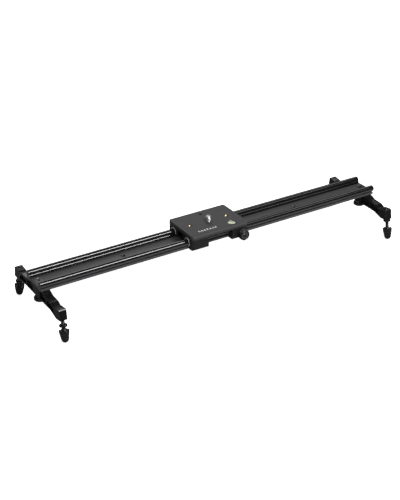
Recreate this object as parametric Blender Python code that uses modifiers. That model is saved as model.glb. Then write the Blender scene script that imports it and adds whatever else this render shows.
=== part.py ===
"""Double-rail camera slider.

An aluminium double-shaft rail stands on two arched cast legs with four
screw-in feet. A carriage with four plain-bearing housings runs along the
rail; a thumb screw in its front right housing clamps it.

Frame: metres, +Z up, +X along the rail, -Y is the front (thumb screw side).
The origin is on the floor under the middle of the rail. Heights of the rail,
legs and carriage are measured from the shaft centres.
"""

import math

import bmesh
import bpy
from mathutils import Matrix, Vector

NAME = "camera_slider"
ORIGIN = (0.0, 0.0, 0.0)
ALONG_X = (math.pi / 2, 0.0, math.pi / 2)   # an outline's x, y, z become Y, Z, X
ALONG_FRONT = (math.pi / 2, 0.0, 0.0)       # own Z points along -Y
SIDES = (("left", -1), ("right", 1))        # sign of X
ROWS = (("front", -1), ("rear", 1))         # sign of Y

# ------------------------------------------------- sizes shared by the sections
GAP = 0.0003                   # running and fitting gap
THROUGH = 0.020                # length of the common through-hole cutters
SHARP_ANGLE = math.radians(35.0)

SHAFT_SPACING = 0.040
SHAFT_Y = SHAFT_SPACING / 2
SHAFT_RADIUS = 0.005
SHAFT_HEIGHT = 0.0660          # shaft centres above the floor
WEB_TOP = -0.0035

LEG_X = 0.2915                 # leg bolt and leg centre line
LEG_BOLT_RADIUS = 0.0028
LEG_BOLT_HOLE_RADIUS = 0.0032

# ------------------------------------------------------------- scene and bins
for old in list(bpy.data.objects):
    bpy.data.objects.remove(old, do_unlink=True)


def bin_named(name):
    found = bpy.data.collections.get(name) or bpy.data.collections.new(name)
    if found.name not in bpy.context.scene.collection.children:
        bpy.context.scene.collection.children.link(found)
    return found


PARTS = bin_named(NAME)
CUTTERS = bin_named(NAME + "_cutters")


# ------------------------------------------------------------------- materials
def material(name, colour, roughness, metallic=0.0):
    mat = bpy.data.materials.new(name)
    mat.use_nodes = True
    shader = mat.node_tree.nodes["Principled BSDF"]
    shader.inputs["Base Color"].default_value = (*colour, 1.0)
    shader.inputs["Roughness"].default_value = roughness
    shader.inputs["Metallic"].default_value = metallic
    return mat


ANODISED = material("black_anodised", colour=(0.035, 0.035, 0.038), roughness=0.38, metallic=0.85)
PLATE_PAINT = material("plate_anodised", colour=(0.055, 0.056, 0.060), roughness=0.50,
                       metallic=0.60)
CAST = material("cast_paint", colour=(0.030, 0.030, 0.032), roughness=0.50, metallic=0.10)
PLASTIC = material("black_plastic", colour=(0.022, 0.022, 0.024), roughness=0.42)
RUBBER = material("black_rubber", colour=(0.028, 0.028, 0.030), roughness=0.75)
STEEL = material("bright_steel", colour=(0.62, 0.62, 0.63), roughness=0.28, metallic=1.0)
BLACK_STEEL = material("black_oxide_steel", colour=(0.045, 0.045, 0.048), roughness=0.40,
                       metallic=0.80)
BRASS = material("brass", colour=(0.70, 0.53, 0.25), roughness=0.30, metallic=1.0)
POLYMER = material("liner_polymer", colour=(0.62, 0.62, 0.60), roughness=0.55)
FLUID = material("level_fluid", colour=(0.66, 0.80, 0.36), roughness=0.20)
ACRYLIC = material("clear_acrylic", colour=(0.86, 0.92, 0.80), roughness=0.08)


# --------------------------------------------------------------- point helpers
def arc(centre_x, centre_y, radius, start, end, count):
    """Points from start to end degrees, both included."""
    angles = [math.radians(start + (end - start) * i / count) for i in range(count + 1)]
    return [(centre_x + radius * math.cos(angle), centre_y + radius * math.sin(angle))
            for angle in angles]


def mirrored(points):
    """The points across the rail's centre plane, in reverse order."""
    return [(-y, z) for y, z in reversed(points)]


def tube(inner, outer, low, high, chamfer=0.0):
    """Closed profile of a ring, outer side first; the chamfer is on the outer rims."""
    if chamfer:
        return [(outer - chamfer, high), (outer, high - chamfer), (outer, low + chamfer),
                (outer - chamfer, low), (inner, low), (inner, high)]
    return [(outer, high), (outer, low), (inner, low), (inner, high)]


# -------------------------------------------------------------- object helpers
def register(obj, mat=None, parent=None, collection=PARTS):
    for held in list(obj.users_collection):
        held.objects.unlink(obj)
    collection.objects.link(obj)
    if mat is not None:
        obj.data.materials.clear()
        obj.data.materials.append(mat)
    if parent is not None:
        obj.parent = parent
    return obj


def empty(name, location, rotation=ORIGIN, parent=None):
    obj = bpy.data.objects.new(name, None)
    obj.empty_display_size = 0.01
    obj.location = location
    obj.rotation_euler = rotation
    return register(obj, parent=parent)


def smooth(obj):
    obj.data.shade_smooth()
    obj.data.set_sharp_from_angle(angle=SHARP_ANGLE)


def outline(name, points, length, location, mat=None, parent=None, collection=PARTS):
    """A closed (y, z) outline extruded along X, centred on location."""
    curve = bpy.data.curves.new(name + "_outline", "CURVE")
    curve.dimensions = "2D"
    curve.fill_mode = "BOTH"
    curve.extrude = length / 2
    spline = curve.splines.new("POLY")
    spline.points.add(len(points) - 1)
    for point, (x, y) in zip(spline.points, points):
        point.co = (x, y, 0.0, 1.0)
    spline.use_cyclic_u = True
    flat = bpy.data.objects.new(name + "_outline", curve)
    bpy.context.scene.collection.objects.link(flat)
    flat.location = location
    flat.rotation_euler = ALONG_X
    bpy.context.view_layer.update()
    graph = bpy.context.evaluated_depsgraph_get()
    mesh = bpy.data.meshes.new_from_object(flat.evaluated_get(graph))
    mesh.name = name
    # weld the caps to the sides and merge the cap triangles
    bm = bmesh.new()
    bm.from_mesh(mesh)
    bmesh.ops.remove_doubles(bm, verts=bm.verts, dist=1e-6)
    bmesh.ops.dissolve_limit(bm, angle_limit=0.002, verts=bm.verts, edges=bm.edges)
    bmesh.ops.recalc_face_normals(bm, faces=bm.faces)
    bm.to_mesh(mesh)
    bm.free()
    solid = bpy.data.objects.new(name, mesh)
    solid.matrix_world = flat.matrix_world.copy()
    bpy.data.objects.remove(flat, do_unlink=True)
    return register(solid, mat, parent, collection)


def turned(name, profile, mat, parent=None, location=ORIGIN, steps=24, closed=False):
    """A profile of (radius, height) spun about the object's own Z.

    It runs down the outer side, top to bottom, or bottom to top where the table
    is laid out so. An open profile starts and ends on the axis; a closed one
    joins its last point to its first.
    """
    mesh = bpy.data.meshes.new(name)
    bm = bmesh.new()
    verts = [bm.verts.new((radius, 0.0, height)) for radius, height in profile]
    for first, second in zip(verts, verts[1:]):
        bm.edges.new((first, second))
    if closed:
        bm.edges.new((verts[-1], verts[0]))
    bm.to_mesh(mesh)
    bm.free()
    obj = bpy.data.objects.new(name, mesh)
    obj.location = location
    register(obj, mat, parent)
    screw = obj.modifiers.new("turn", "SCREW")
    screw.axis = "Z"
    screw.angle = 2 * math.pi
    screw.steps = steps
    screw.render_steps = steps
    screw.use_merge_vertices = True
    screw.merge_threshold = 1e-6
    screw.use_smooth_shade = True
    return obj


def cut(target, cutter):
    cutter.hide_render = True
    cutter.display_type = "WIRE"
    step = target.modifiers.new(cutter.name, "BOOLEAN")
    step.operation = "DIFFERENCE"
    step.solver = "EXACT"
    step.object = cutter


def drill(target, name, radius, depth, location, parent=None, sides=20, top_radius=None,
          rotation=ORIGIN):
    """Cut a cylinder (or a cone with top_radius) centred on location."""
    bpy.ops.mesh.primitive_cone_add(vertices=sides, radius1=radius,
                                    radius2=radius if top_radius is None else top_radius,
                                    depth=depth, location=location, rotation=rotation)
    cutter = bpy.context.active_object
    cutter.name = name
    cutter.data.name = name
    cut(target, register(cutter, parent=parent, collection=CUTTERS))


def cut_block(target, name, low, high, parent=None):
    """Cut a box between two corners."""
    low, high = Vector(low), Vector(high)
    mesh = bpy.data.meshes.new(name)
    bm = bmesh.new()
    bmesh.ops.create_cube(bm, size=1.0, matrix=Matrix.Diagonal((*(high - low), 1.0)))
    bm.to_mesh(mesh)
    bm.free()
    cutter = bpy.data.objects.new(name, mesh)
    cutter.location = (low + high) / 2
    cut(target, register(cutter, parent=parent, collection=CUTTERS))


# ------------------------------------------------------------------- the track
TRACK_LENGTH = 0.600
BASE_BOTTOM = -0.0095
BASE_TOP = -0.0060             # top of the flanges outside the shafts
BASE_HALF_WIDTH = 0.022
BASE_CHAMFER = 0.0004
CHANNEL_HALF_WIDTH = 0.0120    # shallow channel under the web
CHANNEL_DEPTH = 0.0012
CHANNEL_CHAMFER = 0.0008
MOUNT_HOLE_X = 0.155           # holes in the web
MOUNT_HOLE_RADIUS = 0.0032
BUSH_RADIUS = 0.0062
SINK_RADII = (0.0029, 0.0064)  # leg bolt countersink: bottom, top
SEAT_X = (0.2830, 0.3100)      # milled seat under each end
SEAT_HALF_WIDTH = 0.030
SEAT_DEPTH = 0.00015


def rail_section():
    """A round shaft on each edge of a web, on a flanged base."""
    web_angle = 180.0 + math.degrees(math.asin(-WEB_TOP / SHAFT_RADIUS))
    right = [
        (CHANNEL_HALF_WIDTH, BASE_BOTTOM + CHANNEL_DEPTH),
        (CHANNEL_HALF_WIDTH + CHANNEL_CHAMFER, BASE_BOTTOM),
        (BASE_HALF_WIDTH - BASE_CHAMFER, BASE_BOTTOM),
        (BASE_HALF_WIDTH, BASE_BOTTOM + BASE_CHAMFER),
        (BASE_HALF_WIDTH, BASE_TOP - BASE_CHAMFER),
        (BASE_HALF_WIDTH - BASE_CHAMFER, BASE_TOP),
        (SHAFT_Y - 0.0006, -0.0057),
    ]
    right += arc(SHAFT_Y, 0.0, SHAFT_RADIUS, -97.0, web_angle, 18)
    return right + mirrored(right)


def build_rail():
    rail = outline("track_rail", rail_section(), TRACK_LENGTH, (0.0, 0.0, SHAFT_HEIGHT),
                   mat=ANODISED)
    smooth(rail)
    web_top = SHAFT_HEIGHT + WEB_TOP
    base_bottom = SHAFT_HEIGHT + BASE_BOTTOM
    sink_bottom_radius, sink_top_radius = SINK_RADII
    for side, sign in SIDES:
        drill(rail, f"mount_hole_{side}", MOUNT_HOLE_RADIUS, THROUGH,
              (sign * MOUNT_HOLE_X, 0.0, web_top))
        drill(rail, f"leg_bolt_hole_{side}", LEG_BOLT_HOLE_RADIUS, THROUGH,
              (sign * LEG_X, 0.0, SHAFT_HEIGHT - 0.007))
        drill(rail, f"leg_bolt_sink_{side}", sink_bottom_radius, 0.0036,
              (sign * LEG_X, 0.0, web_top - 0.0017), top_radius=sink_top_radius)
        # milled seat, where the leg bears
        low_x, high_x = sorted(sign * x for x in SEAT_X)
        cut_block(rail, f"leg_seat_{side}", (low_x, -SEAT_HALF_WIDTH, base_bottom - 0.002),
                  (high_x, SEAT_HALF_WIDTH, base_bottom + SEAT_DEPTH))
    drill(rail, "bush_hole", BUSH_RADIUS + GAP, THROUGH, (0.0, 0.0, SHAFT_HEIGHT - 0.006),
          sides=24)


def build_tripod_bush():
    """3/8 inch bush pressed into the middle of the web."""
    turned("tripod_bush", tube(0.0044, BUSH_RADIUS, -0.0080, -0.0037), BRASS,
           location=(0.0, 0.0, SHAFT_HEIGHT), closed=True)


# -------------------------------------------------------------------- the legs
LEG_WIDTH = 0.0118
LEG_BOTTOM = -0.0280           # underside at the middle of the arch
LEG_BEVEL = 0.0005
POCKET_DEPTH = 0.0028
POCKET_CUTTER = 0.006          # thickness of the pocket cutters
WASHER_TOP = LEG_BOTTOM - GAP
WASHER_BOTTOM = WASHER_TOP - 0.0010
LEG_KNOB_TOP = WASHER_BOTTOM - GAP
LEG_KNOB_BOTTOM = -0.0352
LEG_KNOB_RADIUS = 0.0088
LEG_BOLT_TOP = WEB_TOP - GAP
LEG_BOLT_BOTTOM = -0.0334

# (y, z) of the leg's +Y half: along the top, round the end, back underneath
LEG_HALF = [
    (0.0225, -0.0098), (0.0330, -0.0142), (0.0490, -0.0148), (0.0570, -0.0182),
    (0.0602, -0.0166), (0.0722, -0.0148), (0.0741, -0.0161), (0.0764, -0.0309),
    (0.0757, -0.0315), (0.0632, -0.0333), (0.0545, -0.0308), (0.0450, -0.0283),
    (0.0350, LEG_BOTTOM),
]
# (y, z) of the side pockets in the +Y half
POCKETS = {
    "inner": [(0.0120, -0.0128), (0.0215, -0.0128), (0.0315, -0.0168), (0.0315, -0.0250),
              (0.0120, -0.0250)],
    "outer": [(0.0350, -0.0170), (0.0480, -0.0175), (0.0560, -0.0208), (0.0575, -0.0285),
              (0.0470, -0.0256), (0.0350, -0.0252)],
}


def build_leg_bar(side, sign, pivot):
    leg = outline(f"leg_bar_{side}", LEG_HALF + mirrored(LEG_HALF), LEG_WIDTH, ORIGIN,
                  CAST, pivot)
    edges = leg.modifiers.new("edges", "BEVEL")
    edges.width = LEG_BEVEL
    edges.segments = 1
    edges.limit_method = "ANGLE"
    edges.angle_limit = math.radians(70.0)
    edges.use_clamp_overlap = True
    for face in (-1, 1):
        facing = "out" if face * sign > 0 else "in"
        x = face * (LEG_WIDTH / 2 - POCKET_DEPTH + POCKET_CUTTER / 2)
        for row, arm in ROWS:
            for kind, points in POCKETS.items():
                cut(leg, outline(f"leg_{side}_pocket_{kind}_{facing}_{row}",
                                 [(arm * y, z) for y, z in points], POCKET_CUTTER,
                                 (x, 0.0, 0.0), parent=pivot, collection=CUTTERS))
    drill(leg, f"leg_{side}_bolt_hole", LEG_BOLT_HOLE_RADIUS, 0.04, (0.0, 0.0, -0.02), pivot)
    return leg


def build_leg_bolt(side, x):
    """Countersunk bolt from the web down through the leg into the knob."""
    profile = [
        (0.0, LEG_BOLT_TOP), (0.0056, LEG_BOLT_TOP), (0.0056, LEG_BOLT_TOP - 0.0004),
        (LEG_BOLT_RADIUS, LEG_BOLT_TOP - 0.0030), (LEG_BOLT_RADIUS, LEG_BOLT_BOTTOM + 0.0006),
        (LEG_BOLT_RADIUS - 0.0006, LEG_BOLT_BOTTOM), (0.0, LEG_BOLT_BOTTOM),
    ]
    bolt = turned(f"leg_bolt_{side}", profile, BLACK_STEEL, location=(x, 0.0, SHAFT_HEIGHT),
                  steps=20)
    drill(bolt, f"leg_bolt_{side}_socket", 0.0023, 0.0036,
          (x, 0.0, SHAFT_HEIGHT + LEG_BOLT_TOP), sides=6)


def build_leg_washer(side, pivot):
    turned(f"leg_washer_{side}", tube(0.0033, 0.0068, WASHER_BOTTOM, WASHER_TOP, 0.0002),
           STEEL, pivot, closed=True)


def build_leg_knob(side, pivot):
    """Round knob under the leg, with a blind bore for the bolt."""
    bore = LEG_BOLT_RADIUS + GAP
    profile = [
        (0.0060, LEG_KNOB_TOP), (LEG_KNOB_RADIUS - 0.0006, LEG_KNOB_TOP),
        (LEG_KNOB_RADIUS, LEG_KNOB_TOP - 0.0006), (LEG_KNOB_RADIUS, LEG_KNOB_BOTTOM + 0.0011),
        (LEG_KNOB_RADIUS - 0.0012, LEG_KNOB_BOTTOM), (0.0, LEG_KNOB_BOTTOM),
        (0.0, LEG_KNOB_BOTTOM + 0.0010), (bore, LEG_KNOB_BOTTOM + 0.0010),
        (bore, LEG_KNOB_TOP),
    ]
    turned(f"leg_knob_{side}", profile, PLASTIC, pivot, steps=32, closed=True)


# -------------------------------------------------------------------- the feet
# Each foot's own Z runs up its stud; heights start at the foot's bottom.
FOOT_TILT = math.radians(11.0)  # feet splay outwards
FOOT_REACH = 0.0780             # foot bottom from the rail's centre plane
FOOT_FLAT = 0.0032              # radius of the flat bottom
TIP_NECK_RADIUS = 0.0048
TIP_SHOULDER = 0.0104
TIP_TOP = 0.0148
CUP_BOTTOM = TIP_SHOULDER + GAP
CUP_SEAT = TIP_TOP + GAP
CUP_RADIUS = 0.0075
CUP_TOP = 0.0184
NOTCH_RING = 0.0078             # notch centres from the foot's axis
STUD_RADIUS = 0.0028
STUD_BORE = STUD_RADIUS + GAP
STUD_BOTTOM = CUP_SEAT + GAP
STUD_LENGTH = 0.0360
STUD_CHAMFER = 0.0005
LOW_NUT, HIGH_NUT = 0.0234, 0.0296


def build_foot_tip(tag, axis):
    profile = [
        (0.0, TIP_TOP), (TIP_NECK_RADIUS, TIP_TOP), (TIP_NECK_RADIUS, TIP_SHOULDER),
        (0.0065, TIP_SHOULDER), (0.0065, 0.0096), (0.0058, 0.0034), (0.0049, 0.0010),
        (FOOT_FLAT, 0.0), (0.0, 0.0),
    ]
    turned(f"foot_tip_{tag}", profile, RUBBER, axis, steps=20)


def build_foot_cup(tag, axis):
    """Cup over the tip's neck, with four notches in its upper rim."""
    bore = TIP_NECK_RADIUS + GAP
    profile = [
        (0.0067, CUP_TOP), (CUP_RADIUS, CUP_TOP), (CUP_RADIUS, 0.0158), (0.0068, CUP_BOTTOM),
        (bore, CUP_BOTTOM), (bore, CUP_SEAT), (STUD_BORE, CUP_SEAT), (STUD_BORE, 0.0175),
        (0.0060, 0.0175),
    ]
    cup = turned(f"foot_cup_{tag}", profile, PLASTIC, axis, steps=20, closed=True)
    for i in range(4):
        angle = math.radians(90 * i + 45)
        place = (NOTCH_RING * math.cos(angle), NOTCH_RING * math.sin(angle), 0.0178)
        drill(cup, f"foot_{tag}_notch_{i}", 0.0011, 0.006, place, axis, sides=6)


def build_foot_stud(tag, axis):
    top = STUD_BOTTOM + STUD_LENGTH
    profile = [(0.0, top), (STUD_RADIUS - STUD_CHAMFER, top), (STUD_RADIUS, top - STUD_CHAMFER),
               (STUD_RADIUS, STUD_BOTTOM), (0.0, STUD_BOTTOM)]
    turned(f"foot_stud_{tag}", profile, BLACK_STEEL, axis, steps=12)


def build_foot(tag, end, nut_height, leg, pivot):
    centre = (0.0, end * FOOT_REACH, FOOT_FLAT * math.sin(FOOT_TILT) - SHAFT_HEIGHT)
    axis = empty(f"foot_{tag}_axis", centre, (end * FOOT_TILT, 0.0, 0.0), pivot)
    build_foot_tip(tag, axis)
    build_foot_cup(tag, axis)
    build_foot_stud(tag, axis)
    turned(f"foot_nut_{tag}", tube(STUD_BORE, 0.0059, 0.0, 0.0034, 0.0005), PLASTIC, axis,
           location=(0.0, 0.0, nut_height), steps=16, closed=True)
    drill(leg, f"foot_{tag}_hole", STUD_BORE, 0.050, (0.0, 0.0, 0.0432), axis, sides=16)


def build_leg(side, sign):
    """A leg with its bolt, washer, knob and two feet."""
    x = sign * LEG_X
    pivot = empty(f"leg_{side}_pivot", (x, 0.0, SHAFT_HEIGHT))
    leg = build_leg_bar(side, sign, pivot)
    build_leg_bolt(side, x)
    build_leg_washer(side, pivot)
    build_leg_knob(side, pivot)
    for row, end in ROWS:
        tag = f"{side}_{row}"
        build_foot(tag, end, HIGH_NUT if tag == "right_front" else LOW_NUT, leg, pivot)


# ---------------------------------------------------------- the carriage plate
CARRIAGE_X = -0.0060           # where the carriage stands
PLATE_LENGTH = 0.100
PLATE_HALF_WIDTH = 0.036
PLATE_TOP = 0.0145
PLATE_BOTTOM = 0.0083
PLATE_EDGE_RADIUS = 0.0048
PLATE_CHAMFER = 0.0005
PLATE_DRILL_Z = 0.012          # centre of the plate's through-hole cutters
INSERT_X = 0.0325
INSERT_RADIUS = 0.0042
PIN_HOLE = (0.0008, 0.0247)    # x, y
CAMERA_SCREW_RADIUS = 0.0047   # 3/8 inch
CAMERA_SCREW_TOP = 0.0222
CAMERA_SCREW_BOTTOM = 0.0076
CAMERA_HEAD_RADIUS = 0.0082
CAMERA_HEAD_TOP = 0.0110
SLOT_HALF_WIDTH = 0.0009
LEVEL_X, LEVEL_Y = 0.0272, -0.0240
LEVEL_RADIUS = 0.0070
LEVEL_BORE = 0.0060
LEVEL_INSIDE = LEVEL_BORE - GAP  # radius of the fluid and the lens
LEVEL_POCKET_FLOOR = 0.0104
LEVEL_POCKET_CUTTER = 0.010
LEVEL_BOTTOM = LEVEL_POCKET_FLOOR + GAP


def plate_section():
    radius = PLATE_EDGE_RADIUS
    right = [(PLATE_HALF_WIDTH - PLATE_CHAMFER, PLATE_BOTTOM),
             (PLATE_HALF_WIDTH, PLATE_BOTTOM + PLATE_CHAMFER)]
    right += arc(PLATE_HALF_WIDTH - radius, PLATE_TOP - radius, radius, 0.0, 90.0, 5)
    return right + mirrored(right)


def build_plate(carriage):
    plate = outline("carriage_plate", plate_section(), PLATE_LENGTH, ORIGIN, PLATE_PAINT,
                    carriage)
    smooth(plate)
    drill(plate, "camera_screw_hole", 0.0051, THROUGH, (0.0, 0.0, PLATE_DRILL_Z), carriage,
          sides=24)
    drill(plate, "camera_screw_recess", CAMERA_HEAD_RADIUS + GAP,
          2 * (CAMERA_HEAD_TOP + GAP - PLATE_BOTTOM), (0.0, 0.0, PLATE_BOTTOM), carriage,
          sides=24)
    drill(plate, "pin_hole", 0.0021, THROUGH, (*PIN_HOLE, PLATE_DRILL_Z), carriage, sides=12)
    drill(plate, "level_pocket", LEVEL_RADIUS + GAP, LEVEL_POCKET_CUTTER,
          (LEVEL_X, LEVEL_Y, LEVEL_POCKET_FLOOR + LEVEL_POCKET_CUTTER / 2), carriage, sides=28)
    for side, sign in SIDES:
        drill(plate, f"insert_hole_{side}", INSERT_RADIUS + GAP, THROUGH,
              (sign * INSERT_X, 0.0, PLATE_DRILL_Z), carriage)
    return plate


def build_inserts(carriage):
    for side, sign in SIDES:
        turned(f"thread_insert_{side}", tube(0.0032, INSERT_RADIUS, 0.0088, 0.0140), BRASS,
               carriage, location=(sign * INSERT_X, 0.0, 0.0), steps=20, closed=True)


def build_camera_screw(carriage):
    """Screw standing up through the plate, with a slot across its head below."""
    profile = [
        (0.0, CAMERA_SCREW_TOP), (CAMERA_SCREW_RADIUS - 0.0009, CAMERA_SCREW_TOP),
        (CAMERA_SCREW_RADIUS, CAMERA_SCREW_TOP - 0.0009), (CAMERA_SCREW_RADIUS, CAMERA_HEAD_TOP),
        (CAMERA_HEAD_RADIUS - 0.0002, CAMERA_HEAD_TOP),
        (CAMERA_HEAD_RADIUS, CAMERA_HEAD_TOP - 0.0002),
        (CAMERA_HEAD_RADIUS, CAMERA_SCREW_BOTTOM + 0.0004),
        (CAMERA_HEAD_RADIUS - 0.0004, CAMERA_SCREW_BOTTOM), (0.0, CAMERA_SCREW_BOTTOM),
    ]
    screw = turned("camera_screw", profile, STEEL, carriage)
    cut_block(screw, "camera_screw_slot", (-0.0100, -SLOT_HALF_WIDTH, 0.0060),
              (0.0100, SLOT_HALF_WIDTH, 0.0090), carriage)


def build_level(carriage):
    """Round bubble level: body, fluid and domed lens."""
    body = [(LEVEL_BORE, 0.0146), (0.0066, 0.0146), (LEVEL_RADIUS, 0.0142),
            (LEVEL_RADIUS, LEVEL_BOTTOM), (0.0, LEVEL_BOTTOM), (0.0, 0.0112),
            (LEVEL_BORE, 0.0112)]
    fluid = [(0.0, 0.0129), (LEVEL_INSIDE, 0.0129), (LEVEL_INSIDE, 0.0115), (0.0, 0.0115)]
    lens = [(0.0, 0.0147), (0.0030, 0.0146), (0.0050, 0.0144), (LEVEL_INSIDE, 0.0141),
            (LEVEL_INSIDE, 0.0131), (0.0, 0.0131)]
    place = (LEVEL_X, LEVEL_Y, 0.0)
    turned("level_body", body, PLASTIC, carriage, place, steps=28, closed=True)
    turned("level_fluid", fluid, FLUID, carriage, place)
    turned("level_lens", lens, ACRYLIC, carriage, place)


# ---------------------------------------------------------------- the bearings
HOUSING_LENGTH = 0.0285
HOUSING_X = (PLATE_LENGTH - HOUSING_LENGTH) / 2
HOUSING_TOP = PLATE_BOTTOM - GAP
HOUSING_BOTTOM = -0.0085
HOUSING_BORE = 0.0069
LINER_OUTER = 0.0065
LINER_INNER = SHAFT_RADIUS + GAP
HOUSING_SCREW_X = 0.0095       # screws from the housing's middle
HOUSING_SCREW_Y = 0.0312
HOUSING_SCREW_RADIUS = 0.0019
HOUSING_HEAD_RADIUS = 0.0033
HOUSING_HEAD_TOP = -0.0047
HOUSING_HEAD_BOTTOM = -0.0083
CLAMP_BORE = 0.0031


def housing_section():
    """Rear bearing housing; open below, where the web holds the shaft."""
    outside = PLATE_HALF_WIDTH
    return [
        (outside, HOUSING_TOP), (outside, HOUSING_BOTTOM + 0.0014),
        (outside - 0.0004, HOUSING_BOTTOM + 0.0004), (outside - 0.0014, HOUSING_BOTTOM),
        (0.0236, HOUSING_BOTTOM), (0.0232, HOUSING_BOTTOM + 0.0004),
        *arc(SHAFT_Y, 0.0, HOUSING_BORE, -52.0, 193.0, 12),
        (0.0122, -0.0022), (0.0086, -0.0022), (0.0080, -0.0016), (0.0080, HOUSING_TOP),
    ]


def build_housing(name, x, row, carriage):
    points = housing_section()
    section = mirrored(points) if row == "front" else points[::-1]
    housing = outline(name, section, HOUSING_LENGTH, (x, 0.0, 0.0), PLATE_PAINT, carriage)
    smooth(housing)
    return housing


def build_liner(tag, x, row, carriage):
    """Rear liner, mirrored for the front; open below like its housing."""
    points = arc(SHAFT_Y, 0.0, LINER_OUTER, -48.0, 190.0, 12)
    points += arc(SHAFT_Y, 0.0, LINER_INNER, 190.0, -48.0, 12)
    section = mirrored(points) if row == "front" else points
    liner = outline(f"bearing_liner_{tag}", section, HOUSING_LENGTH + 2 * GAP, (x, 0.0, 0.0),
                    POLYMER, carriage)
    smooth(liner)
    return liner


def build_housing_screw(tag, x, y, housing, plate, carriage):
    """Socket screw up through the housing into the plate, and its holes."""
    profile = [
        (0.0, 0.0097), (0.0016, 0.0097), (HOUSING_SCREW_RADIUS, 0.0094),
        (HOUSING_SCREW_RADIUS, HOUSING_HEAD_TOP), (HOUSING_HEAD_RADIUS, HOUSING_HEAD_TOP),
        (HOUSING_HEAD_RADIUS, HOUSING_HEAD_BOTTOM + 0.0003),
        (HOUSING_HEAD_RADIUS - 0.0003, HOUSING_HEAD_BOTTOM), (0.0, HOUSING_HEAD_BOTTOM),
    ]
    hole = HOUSING_SCREW_RADIUS + GAP
    screw = turned(f"housing_screw_{tag}", profile, BLACK_STEEL, carriage, (x, y, 0.0), steps=10)
    drill(screw, f"housing_screw_socket_{tag}", 0.0015, 0.0036, (x, y, HOUSING_HEAD_BOTTOM),
          carriage, sides=6)
    drill(housing, f"housing_hole_{tag}", hole, 0.03, (x, y, 0.0), carriage, sides=10)
    drill(housing, f"housing_sink_{tag}", HOUSING_HEAD_RADIUS + GAP,
          2 * (HOUSING_HEAD_TOP + GAP - HOUSING_BOTTOM), (x, y, HOUSING_BOTTOM), carriage,
          sides=10)
    drill(plate, f"plate_hole_{tag}", hole, 0.0036, (x, y, 0.0082), carriage, sides=10)


def build_bearing(row, y_sign, side, x_sign, plate, carriage):
    """A housing with its liner and two screws; the front right one takes the clamp."""
    tag = f"{row}_{side}"
    x = x_sign * HOUSING_X
    clamp = tag == "front_right"
    name = "clamp_housing" if clamp else f"bearing_housing_{tag}"
    housing = build_housing(name, x, row, carriage)
    liner = build_liner(tag, x, row, carriage)
    for number, offset in ((1, -HOUSING_SCREW_X), (2, HOUSING_SCREW_X)):
        build_housing_screw(f"{tag}_{number}", x + offset, y_sign * HOUSING_SCREW_Y,
                            housing, plate, carriage)
    if clamp:
        drill(housing, "clamp_bore", CLAMP_BORE, 0.024, (x, -0.0350, 0.0), carriage,
              rotation=ALONG_FRONT)
        drill(liner, "liner_window", CLAMP_BORE, 0.010, (x, -0.0265, 0.0), carriage,
              rotation=ALONG_FRONT)


# ------------------------------------------------------------------- the clamp
# Profiles are (radius, distance towards the front from the rail's centre plane).
CLAMP_SCREW_RADIUS = 0.0027
CLAMP_KNOB_RADIUS = 0.0078
CLAMP_KNOB_BORE = CLAMP_SCREW_RADIUS + GAP
PAD_FRONT = 0.0280
SCREW_BACK = PAD_FRONT + GAP

CLAMP_PAD = [(0.0, PAD_FRONT), (CLAMP_SCREW_RADIUS, PAD_FRONT), (CLAMP_SCREW_RADIUS, 0.0258),
             (0.0024, 0.0255), (0.0, 0.0255)]
CLAMP_SCREW = [(0.0, 0.0484), (0.0022, 0.0484), (CLAMP_SCREW_RADIUS, 0.0480),
               (CLAMP_SCREW_RADIUS, 0.0287), (0.0023, SCREW_BACK), (0.0, SCREW_BACK)]
CLAMP_KNOB = [(0.0055, 0.0482), (0.0060, 0.0490), (0.0070, 0.0490), (CLAMP_KNOB_RADIUS, 0.0484),
              (CLAMP_KNOB_RADIUS, 0.0412), (0.0068, 0.0404), (0.0050, 0.0400),
              (0.0050, 0.0369), (CLAMP_KNOB_BORE, 0.0369), (CLAMP_KNOB_BORE, 0.0482)]


def build_clamp(carriage):
    """A thumb screw with a brass pad at its tip."""
    axis = empty("clamp_axis", (HOUSING_X, 0.0, 0.0), ALONG_FRONT, carriage)
    turned("clamp_pad", CLAMP_PAD, BRASS, axis, steps=20)
    turned("clamp_screw", CLAMP_SCREW, STEEL, axis, steps=20)
    turned("clamp_knob", CLAMP_KNOB, PLASTIC, axis, steps=32, closed=True)


def build_carriage():
    carriage = empty("carriage_origin", (CARRIAGE_X, 0.0, SHAFT_HEIGHT))
    plate = build_plate(carriage)
    build_inserts(carriage)
    build_camera_screw(carriage)
    build_level(carriage)
    for row, y_sign in ROWS:
        for side, x_sign in SIDES:
            build_bearing(row, y_sign, side, x_sign, plate, carriage)
    build_clamp(carriage)


# -------------------------------------------------------------------- assembly
build_rail()
build_tripod_bush()
for leg_side, leg_sign in SIDES:
    build_leg(leg_side, leg_sign)
build_carriage()
bpy.context.view_layer.update()
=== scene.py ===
# A camera slider: a flat rail with two round edges (the shafts), a cross leg with screw feet under
# each end, and a carriage that rides on the shafts and carries a camera screw and a bubble level.
# The rail lies along X. Left is -X, the front is -Y, +Z is up and the floor is at Z = 0.
import math

import bmesh
import bpy
from mathutils import Matrix, Vector


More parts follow.
